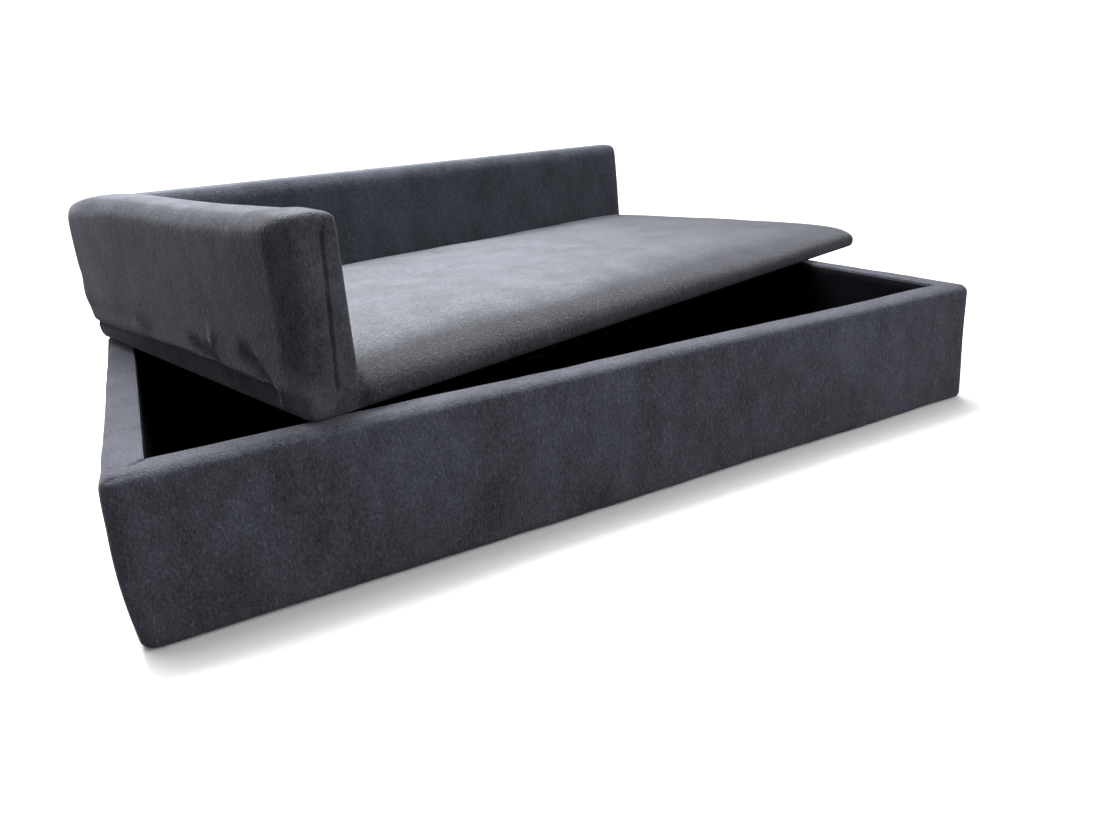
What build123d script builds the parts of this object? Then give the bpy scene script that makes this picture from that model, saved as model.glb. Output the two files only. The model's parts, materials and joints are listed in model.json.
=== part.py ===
"""A sofa bed for a small dog, on an upholstered storage box.

The storage box is a frame of four boards with a thin bottom, padded with foam, covered
with velour and lined in black. The sofa top is a board with a crowned seat pad, a backrest
along its back edge and one armrest along its left edge. The top lies flat on the box. It
turns about a steel pin in the box's back left corner, and lifts straight off that pin.

Millimetres, +Z up, +X to the open right end, +Y to the back. The origin is the middle of
the box's footprint, on the floor. Everything of the top is drawn as if the top were
closed, flush with the box, on planes that swing_out() turns about the pin.
"""

import math
import os

from build123d import *

os.makedirs("parts", exist_ok=True)

# Driving dimensions of the whole object
box_width = 900.0
box_depth = 510.0
box_height = 140.0
whole_height = 300.0
open_angle = 17.4

# Thicknesses of cloth, boards and foam
fabric = 1.0
lining = 1.0
board = 16.0
bottom_panel_thickness = 4.0
top_board_thickness = 12.0
wall_foam = 10.0
rim_foam = 5.0

# Gaps between neighbours, and what a cutting tool runs past a face
rest_gap = 0.3
running_clearance = 0.05
hole_clearance = 0.1
overrun = 1.0

# Rounding of the two covers
corner_radius = 12.0
foot_radius = 8.0
rim_radius = 6.0
hollow_corner_radius = 3.0
deck_edge_radius = 3.0
lining_corner_radius = 6.0

# Hems: how far cloth is turned under, down inside the box, or held back from an edge
turn_under = 30.0
skirt_depth = 12.0
dust_cover_inset = 10.0
lining_inset = 8.0

# Pivot pin and its two flanged bushes
pin_diameter = 8.0
pin_chamfer = 1.0
pin_depth_in_box = 40.0
pin_from_board_end = 10.0
pin_below_top = 1.0
bush_wall = 1.0
bush_flange_width = 2.0
bush_flange_thickness = 1.5

# Armrest and backrest: padded blocks on a core board
block_thickness = 45.0
block_tuck = 3.0
block_end_radius = 16.0
block_crest_radius = 14.0
block_end_foam = 14.0
block_crest_foam = 12.0
backrest_lean = 14.0

# Of a block, from its foot to its crest: height, drawn-in side and leaning end
block_rise_shares = (0, 0.12, 0.45, 0.8, 1)
block_tuck_shares = (1, 0.3, 0, 0.1, 0.6)
block_lean_shares = (0, 0.02, 0.26, 0.68, 1)

# Seat pad: its rise above the deck at the crown and at the backrest, and its rolled edges
seat_crown = 30.0
seat_back_rise = 22.0
seat_front_roll = 26.0
seat_end_roll = 18.0
seat_corner_sweep = 24.0
seat_crown_place_share = 0.45
seat_roll_rise_share = 0.6

# Of the seat, from the armrest to its end roll: place, crown and rise at the backrest
seat_station_shares = (0, 0.35, 0.7, 1)
seat_crown_shares = (0.93, 1, 0.93, 0.72)
seat_back_shares = (1, 1, 0.94, 0.82)

# Of a quarter turn, the steps of the end roll
end_roll_shares = (0, 0.32, 0.64, 0.93)

# Screws: through the corners of the frame, the bottom panel, and up into the blocks
frame_screw_diameter = 5.0
frame_screw_head = 9.0
frame_screw_length = 50.0
frame_screw_edge = 26.0
panel_screw_diameter = 3.5
panel_screw_head = 7.0
panel_screw_length = 25.0
block_screw_diameter = 4.5
block_screw_head = 9.0
block_screw_length = 50.0
long_panel_screw_shares = (-0.75, -0.25, 0.25, 0.75)
short_panel_screw_shares = (-0.45, 0.45)
armrest_screw_shares = (-0.7, -0.2, 0.3)
backrest_screw_shares = (-0.8, -0.27, 0.27, 0.8)

# Staples: their wire, and how far their rows stand in from the edge of the cloth's board
staple_crown = 10.0
staple_wire = 0.7
staple_leg = 6.0
dust_cover_staple_inset = 22.0
top_cover_staple_inset = 14.0
underside_staple_inset = 27.0
skirt_staple_rise = 2.0
long_staple_shares = (-0.9, -0.6, -0.3, 0, 0.3, 0.6, 0.9)
short_staple_shares = (-0.66, 0, 0.66)

# Places in the storage box
frame_half_width = box_width / 2 - fabric - wall_foam
frame_half_depth = box_depth / 2 - fabric - wall_foam
hollow_half_width = frame_half_width - board
hollow_half_depth = frame_half_depth - board
cover_bottom = lining
panel_bottom = cover_bottom + fabric
frame_bottom = panel_bottom + bottom_panel_thickness
floor_top = frame_bottom + lining
frame_top = box_height - fabric - rim_foam
skirt_bottom = box_height - skirt_depth

# Places of the pin
pin_radius = pin_diameter / 2
bush_bore_radius = pin_radius + running_clearance
bush_radius = bush_bore_radius + bush_wall
bush_flange_radius = bush_radius + bush_flange_width
pivot_x = pin_from_board_end - frame_half_width
pivot_y = frame_half_depth - board / 2
pin_bottom = frame_top - pin_depth_in_box

# Places in the sofa top, closed
top_bottom = box_height + rest_gap
top_cover_bottom = top_bottom + lining
top_board_bottom = top_cover_bottom + fabric
top_board_top = top_board_bottom + top_board_thickness
deck = top_board_top + fabric
block_height = whole_height - deck
core_height = block_height - fabric - block_crest_foam
pin_top = top_board_top - pin_below_top
armrest_x = (block_thickness - box_width) / 2
backrest_y = (box_depth - block_thickness) / 2
backrest_length = box_width - block_thickness - rest_gap
backrest_x = (box_width - backrest_length) / 2
seat_left = block_thickness + rest_gap - box_width / 2
seat_length = box_width / 2 - seat_left
seat_front = -box_depth / 2
seat_back = box_depth / 2 - block_thickness - rest_gap

right_angle = 90
upright = (Align.CENTER, Align.CENTER, Align.MIN)
swing = Location((pivot_x, pivot_y, 0), (0, 0, open_angle)) * Location((-pivot_x, -pivot_y, 0))


def swing_out(plane):
    """A plane given for the closed top, turned with the top about the pin."""
    return Plane(swing * plane.location)


def level(height):
    """A level plane of the storage box."""
    return Plane.XY.offset(height)


def top_level(height):
    """A level plane of the sofa top."""
    return swing_out(level(height))


def write(piece, name):
    """Labels a finished piece and writes it as its own file."""
    piece.part.label = name
    export_step(piece.part, f"parts/{name}.step")


# Fasteners, and the holes that they need


def screws(places, diameter, head, length, clearance=0.0):
    """Adds countersunk screws that point along each place's z. A clearance makes them holes."""
    shank = diameter / 2 + clearance
    wide = head / 2 + clearance
    with Locations(*places):
        Cylinder(shank, length + clearance, align=upright)
        Cone(wide, shank, wide - shank, align=upright)


def staples(places, clearance=0.0):
    """Adds staples that point along each place's z, with their crowns along its x."""
    wire = staple_wire + 2 * clearance
    leg_place = (staple_crown - staple_wire) / 2
    with Locations(*places):
        Box(staple_crown, wire, staple_wire, align=upright)
        with Locations((-leg_place, 0, 0), (leg_place, 0, 0)):
            Box(wire, wire, staple_leg, align=upright)


def frame_screw_places():
    """Two screws in each corner of the frame, driven from the front and from the back."""
    across = frame_half_width - board / 2
    heights = (frame_bottom + frame_screw_edge, pin_bottom - frame_screw_edge / 2)
    places = []
    for side in (-1, 1):
        for height in heights:
            places.append(Location((side * across, -frame_half_depth, height), (-90, 0, 0)))
            places.append(Location((side * across, frame_half_depth, height), (90, 0, 0)))
    return places


def panel_screw_places():
    """Screws up through the bottom panel into the lower edges of the frame's boards."""
    along_x = frame_half_depth - board / 2
    along_y = frame_half_width - board / 2
    places = []
    for side in (-1, 1):
        for share in long_panel_screw_shares:
            places.append(Location((share * frame_half_width, side * along_x, panel_bottom)))
        for share in short_panel_screw_shares:
            places.append(Location((side * along_y, share * frame_half_depth, panel_bottom)))
    return places


def armrest_screw_places():
    """Screws up through the top board into the armrest's core."""
    return [
        swing * Location((armrest_x, share * box_depth / 2, top_board_bottom))
        for share in armrest_screw_shares
    ]


def backrest_screw_places():
    """Screws up through the top board into the backrest's core."""
    return [
        swing * Location((backrest_x + share * backrest_length / 2, backrest_y, top_board_bottom))
        for share in backrest_screw_shares
    ]


def staple_row_places(inset, height):
    """Upright staples round the footprint, set in from its edges, at one height."""
    half_width = box_width / 2 - inset
    half_depth = box_depth / 2 - inset
    places = []
    for side in (-1, 1):
        for share in long_staple_shares:
            places.append(Location((share * half_width, side * half_depth, height)))
        for share in short_staple_shares:
            places.append(Location((side * half_width, share * half_depth, height), (0, 0, 90)))
    return places


def skirt_staple_places():
    """Level staples through the velour's inner hem into the frame's boards."""
    height = skirt_bottom + skirt_staple_rise
    half_width = hollow_half_width - fabric
    half_depth = hollow_half_depth - fabric
    places = []
    for share in long_staple_shares:
        places.append(Location((share * half_width, -half_depth, height), (90, 0, 0)))
        places.append(Location((share * half_width, half_depth, height), (-90, 0, 0)))
    for share in short_staple_shares:
        for side in (-1, 1):
            facing = Plane(
                origin=(side * half_width, share * half_depth, height),
                x_dir=(0, 1, 0),
                z_dir=(side, 0, 0),
            )
            places.append(facing.location)
    return places


def swung(places):
    """The same places, turned with the sofa top about the pin."""
    return [swing * place for place in places]


dust_cover_staple_places = staple_row_places(dust_cover_staple_inset, 0)
top_cover_staple_places = swung(staple_row_places(top_cover_staple_inset, top_cover_bottom))
underside_staple_places = swung(staple_row_places(underside_staple_inset, top_bottom))

with BuildPart() as frame_screws:
    screws(frame_screw_places(), frame_screw_diameter, frame_screw_head, frame_screw_length)
write(frame_screws, "frame_screws")

with BuildPart() as frame_screw_holes:
    screws(
        frame_screw_places(),
        frame_screw_diameter,
        frame_screw_head,
        frame_screw_length,
        hole_clearance,
    )

with BuildPart() as bottom_panel_screws:
    screws(panel_screw_places(), panel_screw_diameter, panel_screw_head, panel_screw_length)
write(bottom_panel_screws, "bottom_panel_screws")

with BuildPart() as panel_screw_holes:
    screws(
        panel_screw_places(),
        panel_screw_diameter,
        panel_screw_head,
        panel_screw_length,
        hole_clearance,
    )

with BuildPart() as armrest_screws:
    screws(armrest_screw_places(), block_screw_diameter, block_screw_head, block_screw_length)
write(armrest_screws, "armrest_screws")

with BuildPart() as backrest_screws:
    screws(backrest_screw_places(), block_screw_diameter, block_screw_head, block_screw_length)
write(backrest_screws, "backrest_screws")

with BuildPart() as block_screw_holes:
    screws(
        armrest_screw_places() + backrest_screw_places(),
        block_screw_diameter,
        block_screw_head,
        block_screw_length,
        hole_clearance,
    )

with BuildPart() as dust_cover_staples:
    staples(dust_cover_staple_places)
write(dust_cover_staples, "dust_cover_staples")

with BuildPart() as dust_cover_staple_holes:
    staples(dust_cover_staple_places, hole_clearance)

with BuildPart() as base_cover_staples:
    staples(skirt_staple_places())
write(base_cover_staples, "base_cover_staples")

with BuildPart() as base_cover_staple_holes:
    staples(skirt_staple_places(), hole_clearance)

with BuildPart() as top_cover_staples:
    staples(top_cover_staple_places)
write(top_cover_staples, "top_cover_staples")

with BuildPart() as top_cover_staple_holes:
    staples(top_cover_staple_places, hole_clearance)

with BuildPart() as underside_lining_staples:
    staples(underside_staple_places)
write(underside_lining_staples, "underside_lining_staples")

with BuildPart() as underside_staple_holes:
    staples(underside_staple_places, hole_clearance)


# Pivot: a headless pin that turns in one flanged bush and slides out of the other


def pivot_cylinder(radius, bottom, top, mode=Mode.ADD):
    """Adds or cuts an upright cylinder about the pin's axis."""
    with Locations((pivot_x, pivot_y, bottom)):
        Cylinder(radius, top - bottom, align=upright, mode=mode)


with BuildPart() as pivot_pin:
    pivot_cylinder(pin_radius, pin_bottom, pin_top)
    chamfer(pivot_pin.edges(), pin_chamfer)
write(pivot_pin, "pivot_pin")

with BuildPart() as base_pivot_bush:
    pivot_cylinder(bush_radius, pin_bottom, frame_top)
    pivot_cylinder(bush_flange_radius, frame_top, frame_top + bush_flange_thickness)
    pivot_cylinder(
        bush_bore_radius,
        pin_bottom - overrun,
        frame_top + bush_flange_thickness + overrun,
        Mode.SUBTRACT,
    )
write(base_pivot_bush, "base_pivot_bush")

with BuildPart() as top_pivot_bush:
    pivot_cylinder(bush_radius, top_board_bottom, top_board_top)
    pivot_cylinder(bush_flange_radius, top_board_bottom, top_board_bottom + bush_flange_thickness)
    pivot_cylinder(bush_bore_radius, top_board_bottom - overrun, top_board_top + overrun, Mode.SUBTRACT)
write(top_pivot_bush, "top_pivot_bush")


# Storage box: the frame of four boards and the bottom panel


def upright_board(length_x, length_y, middle_x, middle_y):
    """Adds one board of the frame, standing on the bottom panel."""
    with Locations((middle_x, middle_y, frame_bottom)):
        Box(length_x, length_y, frame_top - frame_bottom, align=upright)
    add(frame_screw_holes.part, mode=Mode.SUBTRACT)
    add(panel_screw_holes.part, mode=Mode.SUBTRACT)
    add(base_cover_staple_holes.part, mode=Mode.SUBTRACT)


with BuildPart() as front_board:
    upright_board(2 * frame_half_width, board, 0, board / 2 - frame_half_depth)
write(front_board, "front_board")

with BuildPart() as back_board:
    upright_board(2 * frame_half_width, board, 0, frame_half_depth - board / 2)
    pivot_cylinder(bush_radius, pin_bottom - rest_gap, frame_top + overrun, Mode.SUBTRACT)
write(back_board, "back_board")

with BuildPart() as left_board:
    upright_board(board, 2 * hollow_half_depth, board / 2 - frame_half_width, 0)
write(left_board, "left_board")

with BuildPart() as right_board:
    upright_board(board, 2 * hollow_half_depth, frame_half_width - board / 2, 0)
write(right_board, "right_board")

with BuildPart() as bottom_panel:
    with BuildSketch(level(panel_bottom)):
        Rectangle(2 * frame_half_width, 2 * frame_half_depth)
    extrude(amount=bottom_panel_thickness)
    add(panel_screw_holes.part, mode=Mode.SUBTRACT)
    add(dust_cover_staple_holes.part, mode=Mode.SUBTRACT)
write(bottom_panel, "bottom_panel")


# Storage box: foam, velour and lining


def wall_ring(inset):
    """The ring of the four padded walls, with every face of it drawn in by an inset."""
    with BuildPart() as ring:
        with BuildSketch(level(cover_bottom + inset)):
            RectangleRounded(box_width - 2 * inset, box_depth - 2 * inset, corner_radius - inset)
            RectangleRounded(
                2 * (hollow_half_width - fabric + inset),
                2 * (hollow_half_depth - fabric + inset),
                hollow_corner_radius + inset,
                mode=Mode.SUBTRACT,
            )
        extrude(amount=box_height - cover_bottom - 2 * inset)
        fillet(ring.edges().group_by(Axis.Z)[-1], rim_radius - inset)
        fillet(ring.faces().sort_by(Axis.Z)[0].outer_wire().edges(), foot_radius - inset)
    return ring.part


covered_walls = wall_ring(0)
padded_walls = wall_ring(fabric)

with BuildPart() as base_cover:
    add(covered_walls)
    add(padded_walls, mode=Mode.SUBTRACT)
    with BuildSketch(level(cover_bottom)):
        Rectangle(2 * hollow_half_width, 2 * hollow_half_depth)
    extrude(amount=skirt_bottom - cover_bottom, mode=Mode.SUBTRACT)
    with BuildSketch(level(cover_bottom)):
        Rectangle(2 * frame_half_width, 2 * frame_half_depth)
        Rectangle(box_width - 2 * turn_under, box_depth - 2 * turn_under, mode=Mode.SUBTRACT)
    extrude(amount=fabric)
    add(base_cover_staple_holes.part, mode=Mode.SUBTRACT)
    add(dust_cover_staple_holes.part, mode=Mode.SUBTRACT)
    pivot_cylinder(pin_radius + rest_gap, frame_top, box_height + overrun, Mode.SUBTRACT)
write(base_cover, "base_cover")

with BuildPart() as wall_padding:
    add(padded_walls)
    with BuildSketch(level(panel_bottom)):
        Rectangle(2 * frame_half_width, 2 * frame_half_depth)
    extrude(amount=frame_top - panel_bottom, mode=Mode.SUBTRACT)
    pivot_cylinder(bush_flange_radius + rest_gap, frame_top, box_height, Mode.SUBTRACT)

front_joint = Plane.XZ.offset(hollow_half_depth)
back_joint = Plane.XZ.offset(-hollow_half_depth)

with BuildPart() as front_wall_foam:
    add(wall_padding.part)
    split(bisect_by=front_joint, keep=Keep.TOP)
write(front_wall_foam, "front_wall_foam")

with BuildPart() as back_wall_foam:
    add(wall_padding.part)
    split(bisect_by=back_joint, keep=Keep.BOTTOM)
write(back_wall_foam, "back_wall_foam")

for foam_name, kept_side in (("left_wall_foam", Keep.BOTTOM), ("right_wall_foam", Keep.TOP)):
    with BuildPart() as side_wall_foam:
        add(wall_padding.part)
        split(bisect_by=front_joint, keep=Keep.BOTTOM)
        split(bisect_by=back_joint, keep=Keep.TOP)
        split(bisect_by=Plane.YZ, keep=kept_side)
    write(side_wall_foam, foam_name)

with BuildPart() as wall_lining:
    with BuildSketch(level(floor_top)):
        Rectangle(2 * hollow_half_width, 2 * hollow_half_depth)
        RectangleRounded(
            2 * (hollow_half_width - lining),
            2 * (hollow_half_depth - lining),
            hollow_corner_radius,
            mode=Mode.SUBTRACT,
        )
    extrude(amount=skirt_bottom - floor_top)
write(wall_lining, "wall_lining")

with BuildPart() as floor_lining:
    with BuildSketch(level(frame_bottom)):
        Rectangle(2 * hollow_half_width, 2 * hollow_half_depth)
    extrude(amount=lining)
write(floor_lining, "floor_lining")

with BuildPart() as dust_cover:
    with BuildSketch():
        RectangleRounded(
            box_width - 2 * dust_cover_inset,
            box_depth - 2 * dust_cover_inset,
            lining_corner_radius,
        )
    extrude(amount=lining)
    add(dust_cover_staple_holes.part, mode=Mode.SUBTRACT)
write(dust_cover, "dust_cover")


# Sofa top: its board, the seat pad and their cover


def deck_slab(inset):
    """The slab of the covered top board, with every face of it drawn in by an inset."""
    with BuildPart() as slab:
        with BuildSketch(top_level(top_cover_bottom + inset)):
            RectangleRounded(box_width - 2 * inset, box_depth - 2 * inset, corner_radius - inset)
        extrude(amount=deck - top_cover_bottom - 2 * inset)
        fillet(slab.edges().group_by(Axis.Z)[-1], deck_edge_radius - inset)
    return slab.part


def seat_section(place, crown_rise, back_rise, sweep, inset):
    """A section across the seat's length: one long arc over the crown, from the backrest to the
    front roll, and a tighter arc that rolls down to the deck."""
    front = seat_front + deck_edge_radius + sweep + inset
    back = seat_back - inset
    crown = (front + seat_crown_place_share * (back - front), crown_rise + fabric - inset)
    backrest_end = (back, back_rise + fabric - inset)
    roll_end = (front + seat_front_roll, seat_roll_rise_share * (crown_rise + fabric - inset))
    across = Plane(origin=(place, 0, top_board_top), x_dir=(0, 1, 0), z_dir=(1, 0, 0))
    with BuildSketch(swing_out(across)) as section:
        with BuildLine():
            over_crown = ThreePointArc(backrest_end, crown, roll_end)
            TangentArc(over_crown @ 1, (front, 0), tangent=over_crown % 1)
            Polyline((front, 0), (back, 0), backrest_end)
        make_face()
    return section.sketch


def seat_form(inset):
    """The crowned seat pad on the top board, drawn in by an inset, with its rolled open end."""
    start = seat_left + inset
    roll_start = seat_left + seat_length - deck_edge_radius - seat_end_roll
    pad_sections = []
    for station_share, crown_share, back_share in zip(
        seat_station_shares, seat_crown_shares, seat_back_shares
    ):
        place = start + station_share * (roll_start - start)
        pad_sections.append(
            seat_section(place, seat_crown * crown_share, seat_back_rise * back_share, 0, inset)
        )
    end_sections = []
    for share in end_roll_shares:
        turned = math.radians(share * right_angle)
        place = roll_start + (seat_end_roll - inset) * math.sin(turned)
        left_over = math.cos(turned)
        end_sections.append(
            seat_section(
                place,
                seat_crown * seat_crown_shares[-1] * left_over,
                seat_back_rise * seat_back_shares[-1] * left_over,
                seat_corner_sweep * (1 - left_over),
                inset,
            )
        )
    with BuildPart() as form:
        loft(sections=pad_sections)
        loft(sections=end_sections)
    return form.part


covered_slab = deck_slab(0)
covered_seat = seat_form(0)
bare_slab = deck_slab(fabric)
bare_seat = seat_form(fabric)

with BuildPart() as seat_foam:
    add(bare_seat)
write(seat_foam, "seat_foam")

with BuildPart() as top_board:
    add(bare_slab)
    add(block_screw_holes.part, mode=Mode.SUBTRACT)
    add(top_cover_staple_holes.part, mode=Mode.SUBTRACT)
    add(underside_staple_holes.part, mode=Mode.SUBTRACT)
    add(top_pivot_bush.part, mode=Mode.SUBTRACT)
    pivot_cylinder(bush_bore_radius, top_board_bottom, top_board_top, Mode.SUBTRACT)
write(top_board, "top_board")

with BuildPart() as seat_cover:
    add(covered_slab)
    add(covered_seat)
    add(bare_slab, mode=Mode.SUBTRACT)
    add(bare_seat, mode=Mode.SUBTRACT)
    with BuildSketch(top_level(top_cover_bottom)):
        Rectangle(box_width - 2 * turn_under, box_depth - 2 * turn_under)
    extrude(amount=fabric, mode=Mode.SUBTRACT)
    add(block_screw_holes.part, mode=Mode.SUBTRACT)
    add(top_cover_staple_holes.part, mode=Mode.SUBTRACT)
    add(underside_staple_holes.part, mode=Mode.SUBTRACT)
    pivot_cylinder(pin_radius + rest_gap, top_cover_bottom, top_board_bottom, Mode.SUBTRACT)
write(seat_cover, "seat_cover")

with BuildPart() as underside_lining:
    with BuildSketch(top_level(top_bottom)):
        RectangleRounded(
            box_width - 2 * lining_inset,
            box_depth - 2 * lining_inset,
            lining_corner_radius,
        )
    extrude(amount=lining)
    add(underside_staple_holes.part, mode=Mode.SUBTRACT)
    pivot_cylinder(pin_radius + rest_gap, top_bottom, top_cover_bottom, Mode.SUBTRACT)
write(underside_lining, "underside_lining")


# Sofa top: the armrest and the backrest


def block_form(middle_x, middle_y, length_x, length_y, lean, inset):
    """A padded block on the deck: drawn in at its foot, full at its middle, with a domed crest.

    Its right end leans in by the lean, and an inset draws in all of it but its underside.
    """
    profile_shares = zip(block_rise_shares, block_tuck_shares, block_lean_shares)
    with BuildPart() as block:
        for rise_share, tuck_share, lean_share in profile_shares:
            drawn_in = 2 * (block_tuck * tuck_share + inset)
            leaned = lean * lean_share
            with BuildSketch(top_level(deck + rise_share * (block_height - inset))):
                with Locations((middle_x - leaned / 2, middle_y)):
                    RectangleRounded(
                        length_x - drawn_in - leaned,
                        length_y - drawn_in,
                        block_end_radius - inset,
                    )
        loft()
        fillet(block.edges().group_by(Axis.Z)[-1], block_crest_radius - inset)
    return block.part


def core_block(middle_x, middle_y, length_x, length_y, mode=Mode.ADD):
    """Adds or cuts the core board of a block, standing on the deck."""
    with Locations(swing * Location((middle_x, middle_y, deck))):
        Box(length_x, length_y, core_height, align=upright, mode=mode)


armrest_core_length = box_depth - 2 * (fabric + block_end_foam)
backrest_core_length = backrest_length - backrest_lean - 2 * (fabric + block_end_foam)
backrest_core_x = backrest_x - backrest_lean / 2

covered_armrest = block_form(armrest_x, 0, block_thickness, box_depth, 0, 0)
bare_armrest = block_form(armrest_x, 0, block_thickness, box_depth, 0, fabric)
covered_backrest = block_form(
    backrest_x, backrest_y, backrest_length, block_thickness, backrest_lean, 0
)
bare_backrest = block_form(
    backrest_x, backrest_y, backrest_length, block_thickness, backrest_lean, fabric
)

with BuildPart() as armrest_core:
    core_block(armrest_x, 0, board, armrest_core_length)
    add(block_screw_holes.part, mode=Mode.SUBTRACT)
write(armrest_core, "armrest_core")

with BuildPart() as armrest_foam:
    add(bare_armrest)
    core_block(armrest_x, 0, board, armrest_core_length, Mode.SUBTRACT)
write(armrest_foam, "armrest_foam")

with BuildPart() as armrest_cover:
    add(covered_armrest)
    add(bare_armrest, mode=Mode.SUBTRACT)
write(armrest_cover, "armrest_cover")

with BuildPart() as backrest_core:
    core_block(backrest_core_x, backrest_y, backrest_core_length, board)
    add(block_screw_holes.part, mode=Mode.SUBTRACT)
write(backrest_core, "backrest_core")

with BuildPart() as backrest_foam:
    add(bare_backrest)
    core_block(backrest_core_x, backrest_y, backrest_core_length, board, Mode.SUBTRACT)
write(backrest_foam, "backrest_foam")

with BuildPart() as backrest_cover:
    add(covered_backrest)
    add(bare_backrest, mode=Mode.SUBTRACT)
write(backrest_cover, "backrest_cover")
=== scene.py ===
"""Looks of the dog sofa bed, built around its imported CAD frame.

Metres, +Z up, +X to the open right end, +Y to the back. Everything of the sofa top is made as
if the top were closed, flush with the box, and is turned about the pin once it is finished.
"""

import json
import math

import bmesh
import bpy
import numpy as np
from mathutils import Matrix, Vector, noise


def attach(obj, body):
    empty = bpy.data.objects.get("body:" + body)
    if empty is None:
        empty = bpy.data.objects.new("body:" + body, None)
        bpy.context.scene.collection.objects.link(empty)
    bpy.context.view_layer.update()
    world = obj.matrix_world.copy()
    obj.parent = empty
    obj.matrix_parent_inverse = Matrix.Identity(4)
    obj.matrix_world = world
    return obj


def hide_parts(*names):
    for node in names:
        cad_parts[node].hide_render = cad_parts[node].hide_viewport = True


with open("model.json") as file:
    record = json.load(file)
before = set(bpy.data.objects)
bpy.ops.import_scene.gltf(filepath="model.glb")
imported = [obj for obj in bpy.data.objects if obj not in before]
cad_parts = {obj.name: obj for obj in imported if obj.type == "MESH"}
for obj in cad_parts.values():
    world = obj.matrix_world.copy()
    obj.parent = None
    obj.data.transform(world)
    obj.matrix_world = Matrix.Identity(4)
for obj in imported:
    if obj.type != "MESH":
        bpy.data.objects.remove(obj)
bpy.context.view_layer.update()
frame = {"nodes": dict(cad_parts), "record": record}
scene = bpy.context.scene

# The storage box and the sofa top, as the CAD draws them
half_width = 0.450
half_depth = 0.255
box_top = 0.140
cover_bottom = 0.001
panel_bottom = 0.002
frame_top = 0.134
frame_half_width = 0.439
frame_half_depth = 0.244
hollow_half_width = 0.422
hollow_half_depth = 0.227
floor_top = 0.007
turn_under = 0.030
top_bottom = 0.1403
top_cover_bottom = 0.1413
board_top = 0.1543
deck = 0.1553
whole_height = 0.300
backrest_left = -0.4085
seat_left = -0.4047
seat_back = 0.2097
pivot = Vector((-0.429, 0.236, 0.0))
open_angle = math.radians(17.4)

# The soft forms that this scene adds
box_corner_radius = 0.012
rim_radius = 0.0095
box_foot_radius = 0.006
pin_clearance_radius = 0.0074
seat_front_roll = 0.100
seat_end_roll = 0.024
seat_overhang = 0.006
seat_widest_height = 0.150
seat_grid = 0.0085
block_top = 0.2980
swell_pressure = 3.0
swell_most = 0.0030
swell_frames = 20
armrest_side = -0.4520
board_edge_side = -0.4508
lining_thickness = 0.0006

swing = (
    Matrix.Translation(pivot)
    @ Matrix.Rotation(open_angle, 4, "Z")
    @ Matrix.Translation(-pivot)
)
top_body = "sofa_top"
up = Vector((0, 0, 1))
forward = (0, -1, 0)
leftward = (-1, 0, 0)


# Mesh helpers


def block(low, high):
    """A block between two corners."""
    bm = bmesh.new()
    add_block(bm, low, high)
    return bm


def add_block(bm, low, high):
    """Adds a block between two corners to a mesh, and gives its vertices."""
    low, high = Vector(low), Vector(high)
    made = bmesh.ops.create_cube(bm, size=1)["verts"]
    bmesh.ops.scale(bm, vec=high - low, verts=made)
    bmesh.ops.translate(bm, vec=(low + high) / 2, verts=made)
    return made


def runs_along(edge, axis):
    """Whether an edge runs along an axis."""
    run = edge.verts[1].co - edge.verts[0].co
    return abs(run[axis]) > 0.985 * run.length


def at_height(edge, height):
    """Whether both ends of an edge are at a height."""
    return all(abs(v.co.z - height) < 1e-5 for v in edge.verts)


def round_off(bm, edges, radius, segments):
    """Rounds edges over."""
    bmesh.ops.bevel(
        bm,
        geom=edges,
        offset=radius,
        offset_type="OFFSET",
        segments=segments,
        profile=0.5,
        affect="EDGES",
        material=-1,
        clamp_overlap=True,
    )


def divide(bm, edges, cuts):
    """Cuts each edge into equal parts, and the faces between them into strips."""
    bmesh.ops.subdivide_edges(bm, edges=edges, cuts=cuts, use_grid_fill=True)


def divide_long(bm, all_cuts):
    """Divides the box's long edges along x, y and z, with a number of cuts for each."""
    for axis, (shortest, cuts) in enumerate(zip((0.7, 0.4, 0.1), all_cuts)):
        edges = [e for e in bm.edges if runs_along(e, axis) and e.calc_length() > shortest]
        divide(bm, edges, cuts)


def slice_at(bm, axis, places):
    """Slices a mesh across an axis at each of some places."""
    normal = [0, 0, 0]
    normal[axis] = 1
    for value in places:
        point = [0, 0, 0]
        point[axis] = value
        everything = bm.verts[:] + bm.edges[:] + bm.faces[:]
        bmesh.ops.bisect_plane(
            bm, geom=everything, dist=1e-6, plane_co=point, plane_no=normal
        )


def draw_out(bm, edges, move=(0, 0, 0), stretch=(1, 1, 1)):
    """Draws a strip of faces out of a loop of edges, and gives the new loop."""
    made = bmesh.ops.extrude_edge_only(bm, edges=edges)["geom"]
    verts = [g for g in made if isinstance(g, bmesh.types.BMVert)]
    bmesh.ops.scale(bm, vec=stretch, verts=verts)
    bmesh.ops.translate(bm, vec=move, verts=verts)
    fresh = set(verts)
    return [
        g for g in made if isinstance(g, bmesh.types.BMEdge) and set(g.verts) <= fresh
    ]


def open_face(bm, direction, inset):
    """Insets the outermost face of one side, takes it out and gives the loop round it."""
    face = max(bm.faces, key=lambda f: f.calc_center_median().dot(direction))
    bmesh.ops.inset_region(bm, faces=[face], thickness=inset, use_even_offset=True)
    loop = list(face.edges)
    bmesh.ops.delete(bm, geom=[face], context="FACES_ONLY")
    return loop


def to_object(bm, name):
    """Turns a bmesh into a smooth-shaded object at the origin."""
    mesh = bpy.data.meshes.new(name)
    bm.normal_update()
    bm.to_mesh(mesh)
    bm.free()
    piece = bpy.data.objects.new(name, mesh)
    scene.collection.objects.link(piece)
    smooth(piece)
    return piece


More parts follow.
